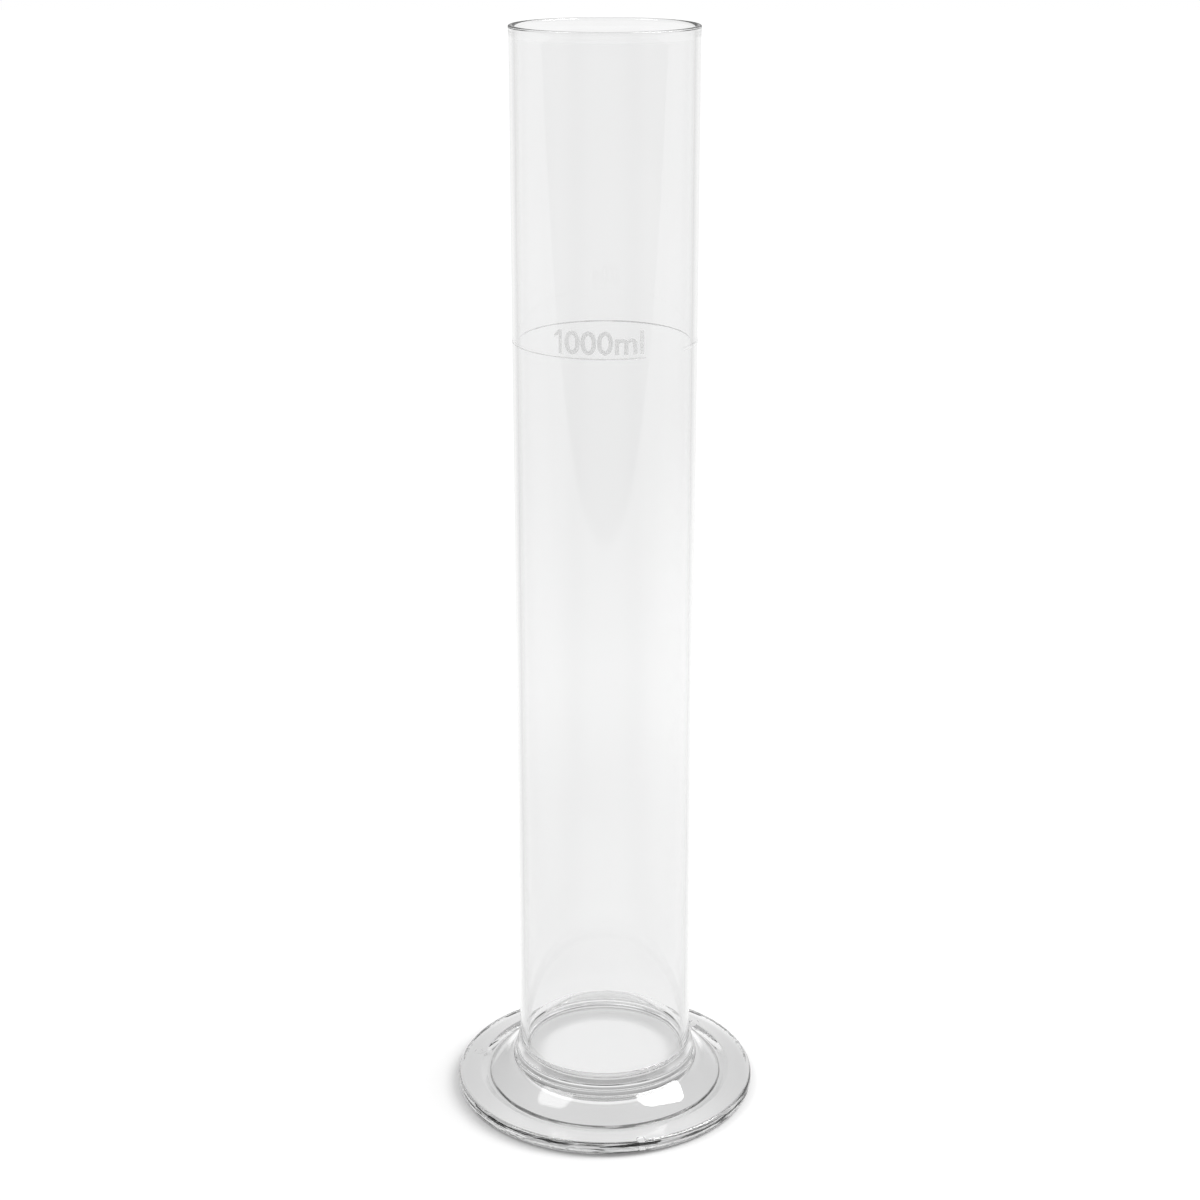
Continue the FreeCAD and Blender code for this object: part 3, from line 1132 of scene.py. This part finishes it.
@dataclass
class CapacityMarking:
    """Enamel line and figure that mark one litre.

    Attributes:
        figure: The capacity, as a plain number with its unit.
        figure_wide: Length of the figure along the tube.
        figure_tall: Height of the figure.
        figure_turn: How far the figure's middle lies from the front.
        figure_gap: Clear height between the line and the figure.
        stroke_gain: How much the strokes are widened, as a share of the letter size.
        letter_steps: Points along each curve of a letter.
        letter_gap: Gap after the leading one, as a share of its height.
        stem_width: Width of the leading one's stem, as a share of its height.
        flag_reach: How far its flag reaches, as a share of its height.
        flag_heights: Where its flag joins the stem, begins and ends, as shares of its height.
        gap_start: Where the line stops, from the front.
        gap_end: Where the line goes on, from the front.
        line_steps: Steps along the line.
        line_film: Share of the film's thickness that the line takes, before its width wavers.
        clear: How far the film stands off the glass, so that the two never touch.
    """

    figure: str = "1000ml"
    figure_wide: float = 34.0 * MM
    figure_tall: float = 8.8 * MM
    figure_turn: float = math.radians(-3.8)
    figure_gap: float = 1.2 * MM
    stroke_gain: float = 0.02
    letter_steps: int = 6
    letter_gap: float = 0.13
    stem_width: float = 0.14
    flag_reach: float = 0.2
    flag_heights: Triple = (0.8, 0.78, 0.65)
    gap_start: float = math.radians(25.0)
    gap_end: float = math.radians(58.0)
    line_steps: int = 360
    line_film: float = 0.8
    clear: float = 0.006 * MM

    def build(self, sizes: Measures, enamel: Material) -> None:
        """Lay the line and the figure on the tube.

        Args:
            sizes: Shared sizes.
            enamel: Their material.
        """
        inside = sizes.wall_radius + self.clear
        film = sizes.line_radius - inside
        line = LineMaker().apply("capacity_line", bpy.data.meshes.new("no_start"), {
            "Radius": inside + film / 2,
            "Start": FRONT + self.gap_end,
            "Sweep": FULL_TURN - (self.gap_end - self.gap_start),
            "Height": sizes.line_height,
            "Film": film * self.line_film,
            "Width": sizes.line_width,
            "Steps": self.line_steps,
            "Enamel": enamel,
        })
        place(line, "fired_enamel", "graduation_ring")
        figure = FigureWrapper().apply("capacity_figure", self._flat_figure(), {
            "Radius": inside,
            "Turn": FRONT + self.figure_turn,
            "Height": sizes.line_height + sizes.line_width / 2 + self.figure_gap,
            "Film": film,
            "Wide": self.figure_wide,
            "Tall": self.figure_tall,
            "Enamel": enamel,
        })
        place(figure, "fired_enamel")

    def _letters(self) -> Mesh:
        """Write all but the leading one in Blender's own letters.

        Returns:
            The flat letters.
        """
        text = bpy.data.curves.new("flat_figure", "FONT")
        text.body = self.figure[1:]
        text.size = self.figure_tall
        text.offset = self.stroke_gain * self.figure_tall
        text.fill_mode = "FRONT"
        text.resolution_u = self.letter_steps
        holder = add_object("flat_figure", text)
        letters = plain_mesh(holder)
        bpy.data.objects.remove(holder)
        return letters

    def _flat_figure(self) -> Mesh:
        """Put a leading one with a flag before the letters.

        Returns:
            The flat figure, facing up.
        """
        letters = self._letters()
        left = min(vertex.co.x for vertex in letters.vertices)
        low = min(vertex.co.y for vertex in letters.vertices)
        tall = max(vertex.co.y for vertex in letters.vertices) - low
        flag = self.flag_reach * tall
        side = flag + self.stem_width * tall
        root, top, bottom = self.flag_heights
        places = [(flag, 0), (side, 0), (side, 1), (flag, 1), (flag, root), (0, top), (0, bottom)]
        points = [(x, y * tall, 0.0) for x, y in places]
        faces = [(0, 1, 2, 3, 4), (6, 4, 3, 5)]
        shift = side + self.letter_gap * tall - left
        first = len(points)
        points += [(vertex.co.x + shift, vertex.co.y - low, 0.0) for vertex in letters.vertices]
        faces += [tuple(first + index for index in face.vertices) for face in letters.polygons]
        flat = bpy.data.meshes.new("flat_figure")
        flat.from_pydata(points, [], faces)
        return flat


@dataclass(frozen=True)
class Softbox:
    """One soft lamp, and its mirror image in glass.

    Attributes:
        name: Its name.
        towards: Direction from the foot to its middle.
        along: Direction of its first side.
        sizes: Its first and second side, at a distance of one.
        power: Its light, in watts.
        shine: How bright its mirror image is.
        blur: Share of its size over which its mirror image fades out.
        squareness: How square the corners of its mirror image are.
    """

    name: str
    towards: Triple
    along: Triple
    sizes: tuple[float, float]
    power: float
    shine: float
    blur: float
    squareness: float = 4.0

    def axes(self) -> tuple[Vector, Vector, Vector]:
        """Work out how the lamp lies.

        Returns:
            Directions of its first side, of its second side and to its middle.
        """
        middle = Vector(self.towards).normalized()
        second = middle.cross(Vector(self.along)).normalized()
        return second.cross(middle), second, middle

    def hang(self, distance: float) -> None:
        """Hang the lamp, turned to the foot.

        Args:
            distance: How far it hangs from the foot.
        """
        first, second, middle = self.axes()
        lamp = bpy.data.lights.new(self.name, "AREA")
        lamp.shape = "RECTANGLE"
        lamp.size, lamp.size_y = (side * distance for side in self.sizes)
        lamp.energy = self.power
        holder = add_object(self.name, lamp)
        holder.rotation_euler = Matrix((first, second, middle)).transposed().to_euler()
        holder.location = middle * distance
        # Glass shows the mirror image in the surroundings, and not the lamp itself.
        holder.visible_camera = False
        holder.visible_glossy = False
        holder.visible_transmission = False

    def mirror_image(self, nodes: Nodes, direction: Feed) -> NodeSocket:
        """Draw the lamp into the surroundings that glass mirrors.

        Args:
            nodes: Helper of the world's tree.
            direction: Direction of the mirrored ray.

        Returns:
            Brightness in that direction.
        """
        *parts, ahead = (nodes.measure("DOT_PRODUCT", direction, tuple(axis)) for axis in self.axes())
        ahead = nodes.math("MAXIMUM", ahead, NEARLY_NONE)
        spread: Feed = 0.0
        for part, side in zip(parts, self.sizes):
            share = nodes.math("ABSOLUTE", nodes.math("DIVIDE", nodes.math("DIVIDE", part, ahead), side / 2))
            spread = nodes.math("ADD", nodes.math("POWER", share, self.squareness), spread)
        return nodes.ramp(spread, 1.0 - self.blur, 1.0 + self.blur, self.shine, 0.0)


@dataclass
class Studio:
    """White table, soft light and white surroundings.

    Attributes:
        plain: Level of the light from all round.
        shaded: Level of that light where it reaches the table through glass.
        bounces: How often light may bend or bounce in the glass.
        lamp_distance: How far the lamps hang from the foot.
        softboxes: The lamps.
        table_reach: How far the table goes to every side.
        table_tone: How white the table is.
        seen_tone: How white it looks to the camera.
        seen_glow: Light that it adds there, by the distance from the foot.
        mirrored_tone: How white it looks mirrored in glass.
        mirrored_glow: Light that it adds there.
        paper_front: What is left of both, by depth, where the paper on the table ends in front.
        white_front: What is left of both, by depth, where everything white ends in front.
        bent_tone: How white the table looks through glass.
        painted_pool_middle: Middle of the pool of light painted on the table under the object, seen through
            glass.
        painted_light_pool: How light the table looks through glass, by the distance from there: a painted
            pool of light.
        painted_floor_steps: Painted steps of light and shade in that, by the distance from the foot.
        near: Added to the distance, so that little counts as aslant close to the foot.
        wing_inner: How much is dimmed aslant of the camera, by the share of the way that goes sideways.
        wing_outer: How much of that dimming is left farther to the side.
        horizon: Rise over which the white horizon turns to the ceiling.
        open_ceiling: Level of the ceiling where it is seen straight through glass.
        gloom: Level of the ceiling after a reflection in the glass, by how far it lies in front.
        dark_front: How much darker the ceiling's very front is after such a reflection.
        dark_rise: Rise over which that begins.
        side_light: Mirrored level of the surroundings, from the front to the back.
        back_dip: How much of it is left right behind the object.
        left_dip: How much of it is left from the left to the right.
        overhead: How much of it is left from the horizon upwards.
    """

    plain: float = 0.62
    shaded: float = 0.15
    bounces: int = 32
    lamp_distance: float = 1.0
    softboxes: tuple[Softbox, ...] = (
        Softbox(
            "softbox_left", towards=(-0.507, 0.0, 0.861), along=(-0.71, 0.63, -0.32), sizes=(0.40, 0.38),
            power=1.2, shine=6.0, blur=0.5,
        ),
        Softbox(
            "softbox_right", towards=(0.55, 0.08, 0.83), along=(0.71, 0.63, -0.32), sizes=(0.60, 0.40),
            power=3.0, shine=14.0, blur=0.1,
        ),
        Softbox(
            "low_panel_right", towards=(0.8, 0.1, 0.58), along=(0.0, 1.0, 0.0), sizes=(0.5, 0.4),
            power=2.5, shine=0.0, blur=0.5,
        ),
    )
    table_reach: float = 6.0
    table_tone: float = 0.9
    seen_tone: float = 0.98
    seen_glow: Fade = Fade(0.08, 0.9, 0.08, 0.45)
    mirrored_tone: float = 0.5
    mirrored_glow: float = 0.6
    paper_front: Fade = Fade(-0.336, -0.296, 0.85, 1.0)
    white_front: Fade = Fade(-0.84, -0.78, 0.03, 1.0)
    bent_tone: float = 0.4
    painted_pool_middle: Triple = (0.0, 0.012, 0.0)
    painted_light_pool: Fade = Fade(0.024, 0.031, 0.98, 0.71)
    painted_floor_steps: tuple[Fade, ...] = (
        Fade(0.044, 0.052, 0.0, 0.12),
        Fade(0.06, 0.07, 0.0, -0.285),
        Fade(0.25, 0.5, 0.0, 0.08),
        Fade(0.5, 2.0, 0.0, 0.1),
    )
    near: float = 0.05
    wing_inner: Fade = Fade(0.3, 0.58, 0.0, 0.2)
    wing_outer: Fade = Fade(0.65, 0.85, 1.0, 0.0)
    horizon: tuple[float, float] = (0.05, 0.2)
    open_ceiling: float = 0.9
    gloom: Fade = Fade(-0.75, 0.75, 0.48, 0.1)
    dark_front: Fade = Fade(0.93, 0.965, 0.0, 0.95)
    dark_rise: Fade = Fade(0.03, 0.12, 0.0, 1.0)
    side_light: Fade = Fade(-0.15, 0.25, 0.0, 1.0)
    back_dip: Fade = Fade(0.93, 0.99, 1.0, 0.5)
    left_dip: Fade = Fade(-0.4, 0.4, 0.5, 1.0)
    overhead: Fade = Fade(0.4, 0.7, 1.0, 0.1)

    def build(self) -> None:
        """Make the table, the surroundings and the softboxes."""
        cycles = bpy.context.scene.cycles
        cycles.max_bounces = cycles.glossy_bounces = cycles.transmission_bounces = self.bounces
        cycles.transparent_max_bounces = self.bounces
        self._table()
        self._surroundings()
        for softbox in self.softboxes:
            softbox.hang(self.lamp_distance)

    def _table(self) -> None:
        """Lay the white table, which keeps the object's shadow."""
        far = self.table_reach
        mesh = bpy.data.meshes.new("studio_table")
        mesh.from_pydata([(-far, -far, 0), (far, -far, 0), (far, far, 0), (-far, far, 0)], [], [(0, 1, 2, 3)])
        mesh.materials.append(self._table_white())
        table = add_object("studio_table", mesh)

    def _table_white(self) -> Material:
        """Make the table's white, which has its own answer for rays that glass mirrors or bends, and which
        carries painted light and shade where glass bends rays to it.

        Returns:
            The material, on Object coordinates.
        """
        made, nodes, shader = new_material("studio_white")
        made.node_tree.nodes.remove(shader)
        path = nodes.add("ShaderNodeLightPath")
        where = nodes.add("ShaderNodeTexCoord").outputs["Object"]
        across, depth, _ = nodes.split(where)
        away = nodes.measure("LENGTH", where)
        mirrored = nodes.times(self.paper_front.of(nodes, depth), self.white_front.of(nodes, depth))
        # Seen through glass, the table gets painted shade aslant of the camera.
        bent = self._wings(nodes, across, nodes.math("ADD", away, self.near))
        # Seen through glass, the table gets a painted pool of light under the object and painted steps of
        # light and shade round the foot.
        below = self.painted_light_pool.of(nodes, nodes.measure("DISTANCE", where, self.painted_pool_middle))
        for step in self.painted_floor_steps:
            below = nodes.math("ADD", below, step.of(nodes, away))
        tone = self._by_ray(nodes, path, {
            Ray.CAMERA: self.seen_tone,
            Ray.GLOSSY: nodes.times(mirrored, self.mirrored_tone),
            Ray.TRANSMISSION: nodes.times(bent, self.bent_tone),
        }, self.table_tone)
        glow = self._by_ray(nodes, path, {
            Ray.CAMERA: self.seen_glow.of(nodes, away),
            Ray.GLOSSY: nodes.times(mirrored, self.mirrored_glow),
            Ray.TRANSMISSION: nodes.times(bent, below),
        }, 0.0)
        matt = nodes.add("ShaderNodeBsdfDiffuse", {"Color": nodes.vector(tone, tone, tone)})
        light = nodes.add("ShaderNodeEmission", {"Strength": glow})
        both = nodes.add("ShaderNodeAddShader", {0: matt, 1: light})
        nodes.feed(made.node_tree.nodes["Material Output"].inputs["Surface"], both)
        return made

    def _wings(self, nodes: Nodes, across: Feed, reach: Feed) -> NodeSocket:
        """Dim what lies aslant of the camera, so that the tube's edges stand out from the white; on the table
        this dimming is painted shade.

        Args:
            nodes: Helper of the tree.
            across: How far it lies to the side.
            reach: How far it lies away.

        Returns:
            The light that is left.
        """
        sideways = nodes.math("DIVIDE", nodes.math("ABSOLUTE", across), reach)
        dimmed = nodes.times(self.wing_inner.of(nodes, sideways), self.wing_outer.of(nodes, sideways))
        return nodes.math("SUBTRACT", 1.0, dimmed)

    @staticmethod
    def _by_ray(
        nodes: Nodes, path: Node, answers: dict[Ray, Feed], otherwise: Feed
    ) -> NodeSocket:
        """Answer kinds of ray differently, up to their first bounce on something matt.

        Args:
            nodes: Helper of the tree.
            path: The tree's Light Path node.
            answers: Value for each kind of ray. A bent ray also counts as mirrored, so the last one wins.
            otherwise: Value for every other ray.

        Returns:
            The value.
        """
        direct = nodes.math("LESS_THAN", path.outputs["Diffuse Depth"], 1.0)
        value: Feed = otherwise
        for ray, answer in answers.items():
            chosen = nodes.times(direct, path.outputs[ray.value])
            value = nodes.math("MULTIPLY_ADD", chosen, nodes.math("SUBTRACT", answer, value), value)
        return value

    def _surroundings(self) -> None:
        """Light the object evenly from all round, with other answers for rays that glass mirrors or bends."""
        world = bpy.data.worlds.new("studio_world")
        bpy.context.scene.world = world
        world.use_nodes = True
        nodes = Nodes(world.node_tree)
        path = nodes.add("ShaderNodeLightPath")
        direction = nodes.add("ShaderNodeTexCoord").outputs["Generated"]
        lit = nodes.ramp(path.outputs[Ray.TRANSMISSION.value], 0.0, 1.0, self.plain, self.shaded)
        level = self._by_ray(nodes, path, {
            Ray.CAMERA: 1.0,
            Ray.GLOSSY: self._mirrored_sky(nodes, direction),
            Ray.TRANSMISSION: self._bent_sky(nodes, direction, path.outputs["Glossy Depth"]),
        }, lit)
        background = world.node_tree.nodes["Background"]
        background.inputs["Color"].default_value = (1.0, 1.0, 1.0, 1.0)
        nodes.feed(background.inputs["Strength"], level)

    def _mirrored_sky(self, nodes: Nodes, direction: Feed) -> Feed:
        """Tell what glass mirrors of the surroundings: light from the sides and the lamps.

        Args:
            nodes: Helper of the world's tree.
            direction: Direction of the ray.

        Returns:
            Brightness in that direction.
        """
        across, depth, up = nodes.split(direction)
        level = nodes.times(
            self.side_light.of(nodes, depth),
            self.back_dip.of(nodes, depth),
            self.left_dip.of(nodes, across),
            self.overhead.of(nodes, up),
        )
        for softbox in self.softboxes:
            level = nodes.math("ADD", level, softbox.mirror_image(nodes, direction))
        return level

    def _bent_sky(self, nodes: Nodes, direction: Feed, reflections: Feed) -> Feed:
        """Tell what glass lets through of the surroundings: a white horizon under a darker ceiling.

        Args:
            nodes: Helper of the world's tree.
            direction: Direction of the ray.
            reflections: How often the ray was mirrored before.

        Returns:
            Brightness in that direction.
        """
        across, depth, up = nodes.split(direction)
        level_share = nodes.math("SUBTRACT", 1.0 + NEARLY_NONE, nodes.times(up, up))
        level_reach = nodes.math("SQRT", level_share)
        frontal = nodes.math("DIVIDE", nodes.times(depth, -1.0), level_reach)
        mirrored = nodes.math("GREATER_THAN", reflections, 0.0)
        gloom = nodes.ramp(mirrored, 0.0, 1.0, self.open_ceiling, self.gloom.of(nodes, frontal))
        dark = nodes.times(mirrored, self.dark_front.of(nodes, frontal), self.dark_rise.of(nodes, up))
        return nodes.times(
            nodes.ramp(up, *self.horizon, 1.0, gloom),
            self._wings(nodes, across, level_reach),
            nodes.math("SUBTRACT", 1.0, dark),
        )


@dataclass
class PhotoCamera:
    """Camera at the photograph's viewing angle.

    Attributes:
        distance: How far it stands in front of the object's axis.
        height: How high it stands above the table.
        tilt: How far it looks down, in degrees.
        focal_pixels: Focal length, in pixels of the image.
        shift: Lens shift across and up.
        sensor: Width of the sensor, in millimetres.
        sight: Nearest and farthest distance that it sees.
    """

    distance: float = 0.84
    height: float = 0.497
    tilt: float = 17.45
    focal_pixels: float = 2267.0
    shift: tuple[float, float] = (-0.004, -0.045)
    sensor: float = 36.0
    sight: tuple[float, float] = (0.01, 50.0)

    def build(self) -> None:
        """Make the camera and look through it."""
        data = bpy.data.cameras.new("photo_camera")
        data.sensor_width = self.sensor
        data.lens = self.focal_pixels / IMAGE_SIDE * self.sensor
        data.shift_x, data.shift_y = self.shift
        data.clip_start, data.clip_end = self.sight
        camera = add_object("photo_camera", data)
        camera.location = (0.0, -self.distance, self.height)
        camera.rotation_euler = (math.radians(90.0 - self.tilt), 0.0, 0.0)
        bpy.context.scene.camera = camera


def main() -> None:
    """Dress the frame, set up the studio and report each piece."""
    logging.basicConfig(level=logging.INFO, format="%(message)s")
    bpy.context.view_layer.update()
    bpy.context.scene.view_settings.view_transform = "Standard"
    sizes = Measures.from_frame()
    lathe = Lathe(segments=256, joint=FusedJoint().material())
    foot = PressedFoot()
    # The pressed glass carries painted shade in its groove's corner and in streaks on its edge.
    pressed_glass = PressedGlass(
        "pressed_clear_glass",
        edge_radius=sizes.foot_radius - foot.uneven_edge,
        crease_radius=foot.dome_radius(sizes),
    ).material()
    CylinderTube().build(sizes, lathe, GlassFinish("drawn_clear_glass").material())
    foot.build(sizes, lathe, pressed_glass)
    WeldRing().build(sizes, lathe, pressed_glass)
    CapacityMarking().build(sizes, EnamelFinish().material())
    Studio().build()
    PhotoCamera().build()


if __name__ == "__main__":
    main()
